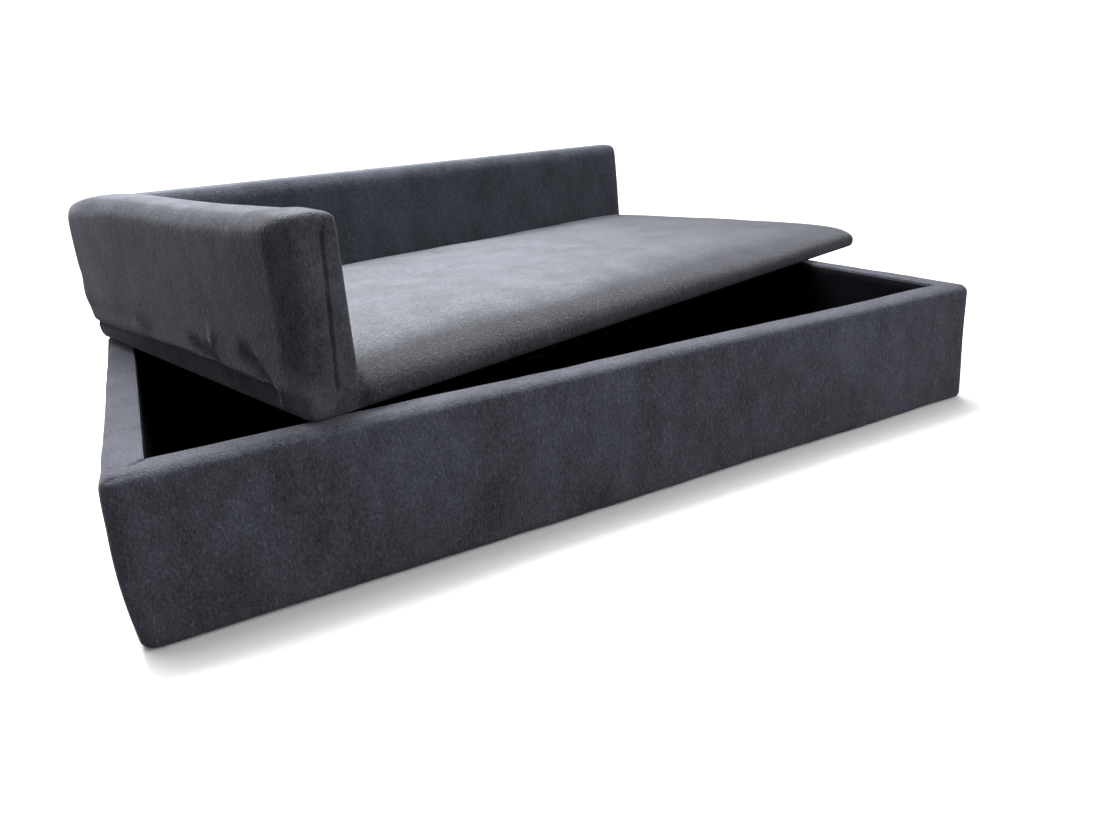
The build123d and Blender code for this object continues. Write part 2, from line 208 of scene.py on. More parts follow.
def smooth(piece):
    """Shades a whole piece smooth."""
    piece.data.polygons.foreach_set("use_smooth", [True] * len(piece.data.polygons))
    piece.data.update()


def apply_modifiers(piece):
    """Makes a piece's modifiers part of its mesh."""
    bpy.context.view_layer.update()
    seen = piece.evaluated_get(bpy.context.evaluated_depsgraph_get())
    fresh = bpy.data.meshes.new_from_object(seen)
    piece.modifiers.clear()
    old, piece.data = piece.data, fresh
    bpy.data.meshes.remove(old)
    fresh.name = piece.name
    smooth(piece)


def read_points(piece):
    """A piece's points and the directions that they face."""
    count = len(piece.data.vertices)
    points, normals = np.zeros(count * 3), np.zeros(count * 3)
    piece.data.vertices.foreach_get("co", points)
    piece.data.vertices.foreach_get("normal", normals)
    return points.reshape(-1, 3), normals.reshape(-1, 3)


def write_points(piece, points):
    """Puts a piece's points in new places."""
    piece.data.vertices.foreach_set("co", points.ravel())
    piece.data.update()


def ease(share):
    """A smooth step from 0 to 1."""
    share = np.clip(share, 0, 1)
    return share * share * (3 - 2 * share)


def ramp(values, start, end):
    """A smooth step as values go from a start to an end."""
    return ease((values - start) / (end - start))


def waves(points, wavelengths, seed):
    """Soft random unevenness at each point, from about -1 to 1, with its own wavelength along
    each axis."""
    stretch = 1 / np.array(wavelengths)
    shift = Vector((seed * 7.31, seed * 3.17, seed * 5.53))
    return np.array([noise.noise(Vector(p) + shift) for p in points * stretch]) * 1.6


def press(piece, line, width, depth, facing=None, fade=0.25):
    """Presses a line of points into a piece: a seam, a fold or a pull in its cloth. A negative
    depth raises it. If it faces a direction, only points that face that way move, and the line
    is laid on them along it."""
    points, normals = read_points(piece)
    measured = points.copy()
    corners = [np.array(corner, dtype=float) for corner in line]
    if facing is not None:
        for place in [measured] + corners:
            place[..., np.argmax(np.abs(facing))] = 0
    lengths = [np.linalg.norm(b - a) for a, b in zip(corners, corners[1:])]
    nearest = np.full(len(points), 1e9)
    place = np.zeros(len(points))
    gone = 0.0
    for a, b, length in zip(corners, corners[1:], lengths):
        run = (b - a) / length
        along = np.clip((measured - a) @ run, 0, length)
        away = np.linalg.norm(measured - a - along[:, None] * run, axis=1)
        closer = away < nearest
        nearest = np.where(closer, away, nearest)
        place = np.where(closer, gone + along, place)
        gone += length
    share = place / gone
    strength = np.exp(-((nearest / width) ** 2))
    if fade:
        strength *= ease(np.minimum(share, 1 - share) / fade)
    if facing is not None:
        strength *= np.clip(normals @ np.array(facing) * 1.5, 0, 1)
    write_points(piece, points - normals * (depth * strength)[:, None])


def refine(piece, wanted):
    """Halves the edges of a piece where a test of a point says so."""
    bm = bmesh.new()
    bm.from_mesh(piece.data)
    divide(bm, [e for e in bm.edges if wanted((e.verts[0].co + e.verts[1].co) / 2)], 1)
    bm.to_mesh(piece.data)
    bm.free()
    smooth(piece)


def near_line(line, reach):
    """A test of whether a point is near a line of points."""
    corners = [Vector(corner) for corner in line]

    def test(point):
        for a, b in zip(corners, corners[1:]):
            run = b - a
            share = max(0.0, min(1.0, (point - a).dot(run) / run.length_squared))
            if (point - a - run * share).length < reach:
                return True
        return False

    return test


def remesh(piece, voxel):
    """Joins overlapping closed shapes into one even skin, and smooths its steps."""
    modifier = piece.modifiers.new("skin", "REMESH")
    modifier.mode = "VOXEL"
    modifier.voxel_size = voxel
    apply_modifiers(piece)
    relax(piece)


def relax(piece):
    """Smooths a piece a little."""
    bm = bmesh.new()
    bm.from_mesh(piece.data)
    for _ in range(2):
        bmesh.ops.smooth_vert(
            bm, verts=bm.verts, factor=0.5, use_axis_x=True, use_axis_y=True, use_axis_z=True
        )
    bm.to_mesh(piece.data)
    bm.free()
    smooth(piece)


def swell(piece):
    """Swells a closed piece as cloth over foam. Points at the deck, where it is stapled or sewn
    down, stay in place. The others move straight out as far as the cloth does, up to a cap."""
    start, normals = read_points(piece)
    group = piece.vertex_groups.new(name="held")
    held = np.nonzero(start[:, 2] < deck + 0.006)[0]
    group.add([int(i) for i in held], 1.0, "REPLACE")
    cloth = piece.modifiers.new("cloth", "CLOTH")
    settings = cloth.settings
    settings.quality = 5
    settings.mass = 0.3
    settings.tension_stiffness = 20
    settings.compression_stiffness = 12
    settings.shear_stiffness = 8
    settings.bending_stiffness = 1.5
    settings.vertex_group_mass = group.name
    settings.use_pressure = True
    settings.uniform_pressure_force = swell_pressure
    settings.effector_weights.gravity = 0
    cloth.point_cache.frame_start = 1
    cloth.point_cache.frame_end = swell_frames
    for step in range(1, swell_frames + 1):
        scene.frame_set(step)
    seen = piece.evaluated_get(bpy.context.evaluated_depsgraph_get())
    moved = np.zeros(len(seen.data.vertices) * 3)
    seen.data.vertices.foreach_get("co", moved)
    moved = moved.reshape(-1, 3)
    piece.modifiers.clear()
    piece.vertex_groups.clear()
    scene.frame_set(1)
    outward = np.clip(((moved - start) * normals).sum(1), 0, swell_most)
    write_points(piece, start + normals * outward[:, None])
    relax(piece)


def fill_out(piece, low, high):
    """Stretches what stands on the deck a little, so that it just fills the room between two
    corners. What is below the deck keeps its height."""
    points, _ = read_points(piece)
    low, high = np.array(low), np.array(high)
    body = points[points[:, 2] > deck + 0.02]
    now_low, now_high = body.min(0), body.max(0)
    now_low[2] = deck
    filled = low + (points - now_low) / (now_high - now_low) * (high - low)
    below = points[:, 2] < deck
    filled[below, 2] = points[below, 2]
    write_points(piece, filled)


def drill(piece, radius, low, high):
    """Takes a round hole for the pin out of a piece, between two heights."""
    bm = bmesh.new()
    bmesh.ops.create_cone(
        bm, cap_ends=True, segments=40, radius1=radius, radius2=radius, depth=high - low
    )
    bmesh.ops.translate(bm, vec=pivot + up * (low + high) / 2, verts=bm.verts)
    bit = to_object(bm, "drill bit")
    modifier = piece.modifiers.new("pin hole", "BOOLEAN")
    modifier.operation = "DIFFERENCE"
    modifier.solver = "EXACT"
    modifier.object = bit
    apply_modifiers(piece)
    bpy.data.meshes.remove(bit.data)


def subdivide(piece):
    """Adds one smooth subdivision."""
    modifier = piece.modifiers.new("subdivision", "SUBSURF")
    modifier.levels = 1
    modifier.render_levels = 1
    apply_modifiers(piece)


def thicken(piece):
    """Gives a sheet the thickness of the lining cloth."""
    modifier = piece.modifiers.new("cloth thickness", "SOLIDIFY")
    modifier.thickness = lining_thickness
    modifier.offset = 0
    apply_modifiers(piece)


def finish_piece(piece, body, slot, material, *replaced):
    """Ties a piece to its body and the CAD nodes that it replaces, and gives it its material. Its
    slot is not used. A piece of the sofa top is turned out with it first."""
    if body == top_body:
        piece.data.transform(swing)
    piece.data.materials.clear()
    piece.data.materials.append(material)
    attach(piece, body)
    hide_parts(*replaced)


# Materials


def socket_group(name, inputs, outputs):
    """A shader node group with named number inputs, a vector and named outputs."""
    group = bpy.data.node_groups.new(name, "ShaderNodeTree")
    group.interface.new_socket("Vector", in_out="INPUT", socket_type="NodeSocketVector")
    for label, value in inputs.items():
        kind = "NodeSocketFloat" if isinstance(value, (int, float)) else "NodeSocketColor"
        made = group.interface.new_socket(label, in_out="INPUT", socket_type=kind)
        made.default_value = value
    for label, kind in outputs.items():
        group.interface.new_socket(label, in_out="OUTPUT", socket_type=kind)
    inlet = group.nodes.new("NodeGroupInput")
    outlet = group.nodes.new("NodeGroupOutput")
    return group, inlet, outlet


def add_node(tree, kind, links=(), **values):
    """Adds a node, sets its values by name and links its inputs."""
    node = tree.nodes.new(kind)
    for key, value in values.items():
        if hasattr(node, key):
            setattr(node, key, value)
    for socket, source in links:
        tree.links.new(source, node.inputs[socket])
    return node


def noise_node(tree, vector, scale, detail, rough=0.5):
    """A noise texture read at a vector."""
    node = add_node(tree, "ShaderNodeTexNoise", [("Vector", vector)])
    node.inputs["Scale"].default_value = scale
    node.inputs["Detail"].default_value = detail
    node.inputs["Roughness"].default_value = rough
    return node


def stretched(tree, vector, scale):
    """A vector with its own scale along each axis."""
    node = add_node(tree, "ShaderNodeMapping", [("Vector", vector)])
    node.inputs["Scale"].default_value = scale
    return node.outputs["Vector"]


def spread(tree, value, low, high, to_low=0.0, to_high=1.0):
    """Spreads a value's range from low to high over another range."""
    node = add_node(tree, "ShaderNodeMapRange", [("Value", value)])
    for label, number in (
        ("From Min", low),
        ("From Max", high),
        ("To Min", to_low),
        ("To Max", to_high),
    ):
        node.inputs[label].default_value = number
    return node.outputs["Result"]


def maths(tree, operation, first, second):
    """Joins two values, or a value and a number."""
    node = add_node(tree, "ShaderNodeMath", operation=operation)
    for place, value in enumerate((first, second)):
        if isinstance(value, (int, float)):
            node.inputs[place].default_value = value
        else:
            tree.links.new(value, node.inputs[place])
    return node.outputs[0]


def mix_colours(tree, factor, first, second):
    """Mixes two colours, given as colours or sockets."""
    node = add_node(tree, "ShaderNodeMix", data_type="RGBA")
    for place, value in ((0, factor), (6, first), (7, second)):
        if isinstance(value, (tuple, list, int, float)):
            node.inputs[place].default_value = value
        else:
            tree.links.new(value, node.inputs[place])
    return node.outputs[2]


def make_nap_and_painted_light_group():
    """The nap of velour: patches where it lies one way or the other, streaks down upright
    faces, and the fine grain of its pile. It also paints light: faces that turn up get a gain
    on their colour, which lights them, or shades them where the gain is below 1."""
    group, inlet, outlet = socket_group(
        "velour nap and painted top light",
        {
            "Dark": (0.03, 0.03, 0.035, 1),
            "Light": (0.1, 0.1, 0.11, 1),
            "Patches": 0.5,
            "Grain": 0.5,
            "Facing Up": 0.0,
            "Painted Top Light": 3.0,
            "Painted Light From": 0.86,
        },
        {"Color": "NodeSocketColor", "Height": "NodeSocketFloat", "Roughness": "NodeSocketFloat"},
    )
    vector = inlet.outputs["Vector"]

    def layer(tall, scale, detail, rough, low, high, to_low=-0.5, to_high=0.5):
        texture = noise_node(
            group, stretched(group, vector, (1.0, 1.0, tall)), scale, detail, rough
        )
        return spread(group, texture.outputs["Fac"], low, high, to_low, to_high)

    patches = layer(0.6, 17, 4, 0.6, 0.34, 0.66)
    mottles = layer(0.5, 85, 3, 0.65, 0.3, 0.7)
    streaks = layer(0.45, 430, 2, 0.6, 0.3, 0.7)
    grains = layer(0.6, 560, 2, 0.75, 0.3, 0.7)
    specks = layer(0.5, 390, 1, 0.5, 0.60, 0.74, 0.0, 0.55)
    patches = maths(group, "MULTIPLY", patches, 0.6)
    mottles = maths(group, "MULTIPLY", mottles, 0.4)
    lying = maths(group, "ADD", patches, mottles)
    lying = maths(group, "MULTIPLY", lying, inlet.outputs["Patches"])
    grains = maths(group, "MULTIPLY", grains, 0.7)
    streaks = maths(group, "MULTIPLY", streaks, 0.3)
    pile = maths(group, "ADD", maths(group, "ADD", grains, streaks), specks)
    grainy = maths(group, "MULTIPLY", pile, inlet.outputs["Grain"])
    tone = maths(group, "ADD", maths(group, "ADD", lying, grainy), 0.45)
    tone = spread(group, tone, 0.0, 1.0)
    # Painted light: the colour is scaled by a gain that grows as a face turns level, so tops look
    # lit
    level = add_node(
        group,
        "ShaderNodeMapRange",
        [("Value", inlet.outputs["Facing Up"]), ("From Min", inlet.outputs["Painted Light From"])],
        interpolation_type="SMOOTHSTEP",
    ).outputs["Result"]
    painted_light_extra = maths(group, "SUBTRACT", inlet.outputs["Painted Top Light"], 1.0)
    painted_light_gain = maths(group, "ADD", maths(group, "MULTIPLY", painted_light_extra, level), 1.0)
    colour = mix_colours(group, tone, inlet.outputs["Dark"], inlet.outputs["Light"])
    scaled = add_node(
        group, "ShaderNodeVectorMath", [(0, colour), ("Scale", painted_light_gain)], operation="SCALE"
    )
    group.links.new(scaled.outputs["Vector"], outlet.inputs["Color"])
    group.links.new(spread(group, pile, -0.5, 0.8), outlet.inputs["Height"])
    group.links.new(spread(group, lying, -0.5, 0.5, 0.82, 1.0), outlet.inputs["Roughness"])
    return group


nap_and_painted_light_group = make_nap_and_painted_light_group()


def plain_material(name):
    """An empty material with its Principled shader, and object coordinates."""
    material = bpy.data.materials.new(name)
    material.use_nodes = True
    tree = material.node_tree
    shader = tree.nodes["Principled BSDF"]
    coordinates = tree.nodes.new("ShaderNodeTexCoord")
    return material, tree, shader, coordinates.outputs["Object"]


def bump(tree, shader, height, strength, distance):
    """Feeds a height to a shader as fine relief."""
    node = add_node(tree, "ShaderNodeBump", [("Height", height)])
    node.inputs["Strength"].default_value = strength
    node.inputs["Distance"].default_value = distance
    tree.links.new(node.outputs["Normal"], shader.inputs["Normal"])


# Painted shade on the seat near the backrest: how far towards the backrest, how far to the
# right, and how much less level its faces are taken to be, which darkens them
painted_shade_towards_back = (0.11, 0.30)
painted_shade_at_left = (-0.02, 0.24)
painted_shade_most = 0.060


def velour(
    name, dark, light, patches, grain, sheen, painted_top_light, painted_light_from=0.86, painted_end_shade=0.0
):
    """Short-pile velour in the tone given for one piece. Level faces get painted light: their
    colour is scaled up by a painted top light, or down where it is below 1. With a painted end
    shade, as on the seat, painted shade fades that light towards the right end and near the
    backrest at the left, and its sheen goes out on faces that turn down."""
    material, tree, shader, vector = plain_material(name)
    nap_and_light = tree.nodes.new("ShaderNodeGroup")
    nap_and_light.node_tree = nap_and_painted_light_group
    tree.links.new(vector, nap_and_light.inputs["Vector"])
    nap_and_light.inputs["Dark"].default_value = (*dark, 1)
    nap_and_light.inputs["Light"].default_value = (*light, 1)
    nap_and_light.inputs["Patches"].default_value = patches
    nap_and_light.inputs["Grain"].default_value = grain
    nap_and_light.inputs["Painted Top Light"].default_value = painted_top_light
    nap_and_light.inputs["Painted Light From"].default_value = painted_light_from
    geometry = tree.nodes.new("ShaderNodeNewGeometry")
    facing = add_node(tree, "ShaderNodeSeparateXYZ", [("Vector", geometry.outputs["Normal"])])
    facing_up = facing.outputs["Z"]
    if painted_end_shade:
        # Painted shade: faces count as less level towards the right end, so their painted top
        # light fades
        place = add_node(tree, "ShaderNodeSeparateXYZ", [("Vector", vector)])
        shade = spread(tree, place.outputs["X"], 0.0, 0.5, 1.0, 1.0 - painted_end_shade)
        facing_up = maths(tree, "MULTIPLY", facing_up, shade)
        # Painted shade on the seat near the backrest at the left: its faces there count as less
        # level
        to_back = add_node(
            tree, "ShaderNodeVectorMath", [(0, vector)], operation="DOT_PRODUCT"
        )
        to_back.inputs[1].default_value = (-math.sin(open_angle), math.cos(open_angle), 0)
        painted_backrest_shade = spread(
            tree, to_back.outputs["Value"], *painted_shade_towards_back, 0.0, painted_shade_most
        )
        at_left = spread(tree, place.outputs["X"], *painted_shade_at_left, 1.0, 0.0)
        painted_backrest_shade = maths(tree, "MULTIPLY", painted_backrest_shade, at_left)
        facing_up = maths(tree, "SUBTRACT", facing_up, painted_backrest_shade)
        shown_sheen = spread(tree, facing_up, -0.45, 0.0, 0.0, sheen)
        tree.links.new(shown_sheen, shader.inputs["Sheen Weight"])
    tree.links.new(facing_up, nap_and_light.inputs["Facing Up"])
    tree.links.new(nap_and_light.outputs["Color"], shader.inputs["Base Color"])
    tree.links.new(nap_and_light.outputs["Roughness"], shader.inputs["Roughness"])
    bump(tree, shader, nap_and_light.outputs["Height"], 0.8, 0.0009)
    shader.inputs["Specular IOR Level"].default_value = 0.15
    shader.inputs["Sheen Weight"].default_value = sheen
    shader.inputs["Sheen Roughness"].default_value = 0.3
    shader.inputs["Sheen Tint"].default_value = (0.85, 0.87, 1.0, 1)
    return material


def black_cloth():
    """Thin black nonwoven lining."""
    material, tree, shader, vector = plain_material("black lining cloth")
    weave = noise_node(tree, vector, 600, 3, 0.7).outputs["Fac"]
    cloud = noise_node(tree, vector, 30, 3, 0.6).outputs["Fac"]
    black, worn = (0.0012, 0.0012, 0.0020, 1), (0.0030, 0.0030, 0.0042, 1)
    tree.links.new(mix_colours(tree, cloud, black, worn), shader.inputs["Base Color"])
    tree.links.new(spread(tree, weave, 0.3, 0.7, 0.8, 1.0), shader.inputs["Roughness"])
    bump(tree, shader, weave, 0.4, 0.0004)
    shader.inputs["Specular IOR Level"].default_value = 0.02
    return material


def plywood():
    """Sanded plywood, with its long grain and fine dark pores."""
    material, tree, shader, vector = plain_material("birch plywood")
    grain = noise_node(tree, stretched(tree, vector, (2.0, 26.0, 26.0)), 9, 6, 0.65)
    pores = noise_node(tree, stretched(tree, vector, (12.0, 300.0, 300.0)), 5, 2, 0.5)
    grain, pores = grain.outputs["Fac"], pores.outputs["Fac"]
    late, early = (0.58, 0.40, 0.22, 1), (0.78, 0.62, 0.41, 1)
    face = mix_colours(tree, spread(tree, grain, 0.3, 0.7), late, early)
    pitted = spread(tree, pores, 0.62, 0.7, 0.0, 0.5)
    shade = mix_colours(tree, pitted, face, (0.30, 0.19, 0.10, 1))
    tree.links.new(shade, shader.inputs["Base Color"])
    tree.links.new(spread(tree, grain, 0.3, 0.7, 0.5, 0.7), shader.inputs["Roughness"])
    bump(tree, shader, pores, 0.2, 0.0003)
    return material


def metal(name, colour, other, roughness):
    """Bare or plated metal with fine turning or drawing marks."""
    material, tree, shader, vector = plain_material(name)
    marks = noise_node(tree, stretched(tree, vector, (60.0, 60.0, 900.0)), 4, 3, 0.6)
    stain = noise_node(tree, vector, 220, 3, 0.6)
    marks, stain = marks.outputs["Fac"], stain.outputs["Fac"]
    stained = mix_colours(tree, spread(tree, stain, 0.35, 0.65), (*colour, 1), (*other, 1))
    tree.links.new(stained, shader.inputs["Base Color"])
    rough = spread(tree, marks, 0.3, 0.7, roughness - 0.08, roughness + 0.12)
    tree.links.new(rough, shader.inputs["Roughness"])
    bump(tree, shader, marks, 0.15, 0.0002)
    shader.inputs["Metallic"].default_value = 1.0
    return material


# The four velours are one cloth: their tones and painted top light are set piece by piece as
# painted light and shade
velour_seat = velour(
    "velour of the seat",
    dark=(0.0074, 0.0078, 0.0094),
    light=(0.0475, 0.0490, 0.0565),
    patches=0.35,
    grain=0.8,
    sheen=0.28,
    painted_top_light=2.5,
    painted_light_from=0.908,
    painted_end_shade=0.070,
)
velour_block = velour(
    "velour of the armrest",
    dark=(0.009, 0.0097, 0.0122),
    light=(0.0575, 0.0615, 0.0735),
    patches=0.8,
    grain=0.6,
    sheen=0.15,
    painted_top_light=1.72,
)
velour_back = velour(
    "velour of the backrest",
    dark=(0.0070, 0.0079, 0.0106),
    light=(0.0465, 0.0520, 0.0665),
    patches=0.5,
    grain=0.55,
    sheen=0.17,
    painted_top_light=1.8,
)
velour_box = velour(
    "velour of the box",
    dark=(0.0122, 0.0128, 0.0165),
    light=(0.0745, 0.0775, 0.0975),
    patches=0.50,
    grain=0.62,
    sheen=0.20,
    painted_top_light=0.88,
)
lining_cloth = black_cloth()
slot_materials = {
    "plywood": plywood(),
    "screw_steel": metal("yellow zinc plating", (0.62, 0.54, 0.32), (0.52, 0.50, 0.40), 0.34),
    "staple_steel": metal("galvanised wire", (0.55, 0.56, 0.58), (0.45, 0.46, 0.48), 0.36),
    "pin_steel": metal("ground steel", (0.56, 0.57, 0.59), (0.50, 0.51, 0.53), 0.24),
    "bush_brass": metal("turned brass", (0.72, 0.52, 0.22), (0.62, 0.45, 0.20), 0.28),
}


# Storage box: its velour over the foam of the four walls


def make_box_cover():
    """The padded walls: outside, rolled rim and turned-under hem, open where the boards sit."""
    bm = block((-half_width, -half_depth, cover_bottom), (half_width, half_depth, box_top))
    rim = open_face(bm, up, half_width - hollow_half_width)
    rim_foot = draw_out(bm, rim, move=(0, 0, frame_top - box_top))
    board_edge = draw_out(
        bm,
        rim_foot,
        stretch=(frame_half_width / hollow_half_width, frame_half_depth / hollow_half_depth, 1),
    )
    board_foot = draw_out(bm, board_edge, move=(0, 0, panel_bottom - frame_top))
    hem = open_face(bm, -up, turn_under)
    hem_top = draw_out(bm, hem, move=(0, 0, panel_bottom - cover_bottom))
    bmesh.ops.bridge_loops(bm, edges=board_foot + hem_top)
    bmesh.ops.recalc_face_normals(bm, faces=bm.faces)

    def inside_rim(edge):
        return all(
            abs(v.co.x) < frame_half_width - 0.005 and abs(v.co.y) < frame_half_depth - 0.005
            for v in edge.verts
        )

    def outer_upright(edge):
        return edge.calc_length() > 0.13 and abs(edge.verts[0].co.x) > half_width - 0.005

    def rim_upright(edge):
        return inside_rim(edge) and edge.calc_length() < 0.01 and edge.verts[0].co.z > 0.1

    def rim_edge(edge):
        beside_wall = any(abs(f.normal.z) < 0.5 for f in edge.link_faces)
        return at_height(edge, box_top) and inside_rim(edge) and edge.is_manifold and beside_wall

    uprights = [e for e in bm.edges if runs_along(e, 2)]
    round_off(bm, [e for e in uprights if outer_upright(e)], box_corner_radius, 6)
    uprights = [e for e in bm.edges if runs_along(e, 2)]
    round_off(bm, [e for e in uprights if rim_upright(e)], 0.003, 3)
    round_off(bm, [e for e in bm.edges if rim_edge(e)], 0.0048, 4)
    for place in (0.0008, 0.0022, 0.0040, 0.0062, rim_radius):
        slice_at(bm, 0, (place - half_width, half_width - place))
        slice_at(bm, 1, (place - half_depth, half_depth - place))
        slice_at(bm, 2, (cover_bottom + place, box_top - place))
    divide_long(bm, (180, 100, 26))
    across_rim = [e for e in bm.edges if at_height(e, box_top) and 0.012 < e.calc_length() < 0.03]
    divide(bm, across_rim, 3)
    bmesh.ops.triangulate(bm, faces=[f for f in bm.faces if len(f.verts) > 4])
    return to_object(bm, "box_cover")


def round_foam_edge(points, level, inward, radius):
    """Draws the square edge between the box's outer faces and its top or bottom into a quarter
    circle. Inward is the way into the box along z from the level of that face."""
    side = np.abs(points[:, :2]) - (half_width - box_corner_radius, half_depth - box_corner_radius)
    round_corner = (side > 0).all(1)
    past = np.where(round_corner, np.hypot(side[:, 0], side[:, 1]), side.max(1))
    outward = np.where(side >= side.max(1)[:, None], 1.0, 0.0)
    outward[round_corner] = side[round_corner] / past[round_corner, None]
    depth_in = (box_corner_radius - past) / radius
    depth_down = (points[:, 2] - level) * inward / radius
    near = (depth_in < 1) & (depth_down < 1)
    out, up_share = 1 - depth_in[near], 1 - depth_down[near]
    kept = np.maximum(out, up_share) / np.maximum(np.hypot(out, up_share), 1e-9)
    drawn_in = (out * (kept - 1) * radius)[:, None]
    points[near, :2] += np.sign(points[near, :2]) * outward[near] * drawn_in
    points[near, 2] -= inward * up_share * (kept - 1) * radius


def soften_box(piece):
    """Lets the box's walls bulge and its rim wander, as cloth over foam does. The left wall bulges
    most, at its front corner."""
    points, normals = read_points(piece)
    x, y, z = points.T
    outer = np.maximum(
        ramp(np.abs(x), frame_half_width + 0.002, half_width - 0.001),
        ramp(np.abs(y), frame_half_depth + 0.002, half_depth - 0.001),
    )
    shown = np.maximum(outer, ramp(z, frame_top + 0.001, box_top - 0.001))
    from_corner = np.hypot(np.abs(x) - half_width, np.abs(y) - half_depth)
    off_corner = 1 - np.exp(-((from_corner / 0.05) ** 2))
    bulge = np.sin(np.pi * np.clip(z / box_top, 0, 1))
    long_waves = waves(points, (0.16, 0.16, 0.14), 1) * 0.0009 * off_corner
    short_waves = waves(points, (0.035, 0.035, 0.05), 2) * 0.00035
    belly = np.where(np.abs(normals[:, 2]) < 0.5, bulge * 0.0012, 0) * off_corner
    left_front = np.exp(-((np.hypot(x + half_width, y + half_depth) / 0.05) ** 2))
    swollen = np.exp(-((from_corner / 0.035) ** 2)) * ramp(z, 0.095, 0.130)
    swollen *= 0.0004 + 0.0010 * left_front
    move = shown * (long_waves + short_waves + belly + swollen)
    move -= 0.0007 * ramp(normals[:, 2], 0.3, 1.0)
    points = points + normals * move[:, None]
    left_wall = ramp(-x, half_width - 0.013, half_width - 0.001)
    towards_front = np.exp(-(((y + half_depth) / 0.11) ** 2))
    points[:, 0] -= 0.0048 * bulge * towards_front * left_wall
    points[:, 2] = np.maximum(points[:, 2], 0.0005)
    write_points(piece, points)


box_cover = make_box_cover()
points, _ = read_points(box_cover)
round_foam_edge(points, box_top, -1, rim_radius)
round_foam_edge(points, cover_bottom, 1, box_foot_radius)
write_points(box_cover, points)

# The folded corner of the rim at the left front
fold_corner = Vector((-hollow_half_width, -hollow_half_depth, box_top))
refine(box_cover, near_line([fold_corner, (-0.448, -0.250, 0.137)], 0.020))
refine(box_cover, near_line([fold_corner, (-0.446, -0.240, 0.138)], 0.014))
soften_box(box_cover)
fold = [(-0.4205, -0.2255, 0.1395), (-0.427, -0.2325, 0.1405), (-0.4325, -0.2395, 0.140)]
press(box_cover, fold, 0.0016, 0.0032, facing=up, fade=0.18)
flap = [(-0.4225, -0.2250, 0.140), (-0.434, -0.2275, 0.1405), (-0.4465, -0.2320, 0.139)]
press(box_cover, flap, 0.0026, -0.0016, facing=up, fade=0.2)
pull = [(-0.4330, -0.2420, 0.1400), (-0.440, -0.2500, 0.1340), (-0.4420, -0.2550, 0.120)]
press(box_cover, pull, 0.004, 0.0008, fade=0.3)

# The rim stays below the closed sofa top
points, _ = read_points(box_cover)
points[:, 2] = np.minimum(points[:, 2], box_top)
write_points(box_cover, points)
drill(box_cover, pin_clearance_radius, frame_top - 0.001, box_top + 0.002)
finish_piece(
    box_cover,
    "storage_box",
    "velour",
    velour_box,
    "base_cover",
    "front_wall_foam",
    "back_wall_foam",
    "left_wall_foam",
    "right_wall_foam",
)


# Storage box: its black lining, and the sheet under it


def make_sheet(name, half_x, half_y, height, step, uneven, seed):
    """A level sheet of thin cloth."""
    bm = bmesh.new()
    bmesh.ops.create_grid(
        bm, x_segments=round(2 * half_x / step), y_segments=round(2 * half_y / step), size=1
    )
    bmesh.ops.scale(bm, vec=(half_x, half_y, 1), verts=bm.verts)
    bmesh.ops.translate(bm, vec=(0, 0, height), verts=bm.verts)
    piece = to_object(bm, name)
    points, _ = read_points(piece)
    points[:, 2] += waves(points, (0.06, 0.06, 1), seed) * uneven
    write_points(piece, points)
    thicken(piece)
    return piece


def make_wall_lining():
    """The sheet round the inside of the four walls, from the floor to under the rim."""
    half_x, half_y = hollow_half_width - 0.0007, hollow_half_depth - 0.0007
    bm = block((-half_x, -half_y, floor_top + 0.0004), (half_x, half_y, frame_top + 0.0018))
    level_faces = [f for f in bm.faces if abs(f.normal.z) > 0.5]
    bmesh.ops.delete(bm, geom=level_faces, context="FACES_ONLY")
    round_off(bm, [e for e in bm.edges if runs_along(e, 2)], 0.004, 4)
    divide_long(bm, (90, 50, 14))
    bmesh.ops.reverse_faces(bm, faces=bm.faces)
    piece = to_object(bm, "compartment_wall_lining")
    points, normals = read_points(piece)
    loose = np.sin(np.pi * np.clip((points[:, 2] - floor_top) / (frame_top - floor_top), 0, 1))
    ripples = np.clip(waves(points, (0.05, 0.05, 0.2), 5), 0, 1)
    write_points(piece, points + normals * (loose * ripples * 0.0012)[:, None])
    thicken(piece)
    return piece


wall_lining = make_wall_lining()
finish_piece(wall_lining, "storage_box", "black_lining", lining_cloth, "wall_lining")

floor_lining = make_sheet("compartment_floor_lining", 0.4215, 0.2265, 0.0068, 0.012, 0.0002, 6)
finish_piece(floor_lining, "storage_box", "black_lining", lining_cloth, "floor_lining")

dust_cover = make_sheet("dust_cover_cloth", 0.440, 0.245, 0.0006, 0.014, 0.0001, 7)
finish_piece(dust_cover, "storage_box", "black_lining", lining_cloth, "dust_cover")


# Sofa top: the seat pad with the board that it wraps


def arc_places(reach, count):
    """Distances from an edge that get closer together towards it, as on a quarter circle."""
    return [reach * (1 - math.cos(math.pi / 2 * k / count)) for k in range(1, count + 1)]


def even_places(start, end, step):
    """Places between two ends at about a step."""
    count = round((end - start) / step)
    return [start + (end - start) * k / count for k in range(1, count)]


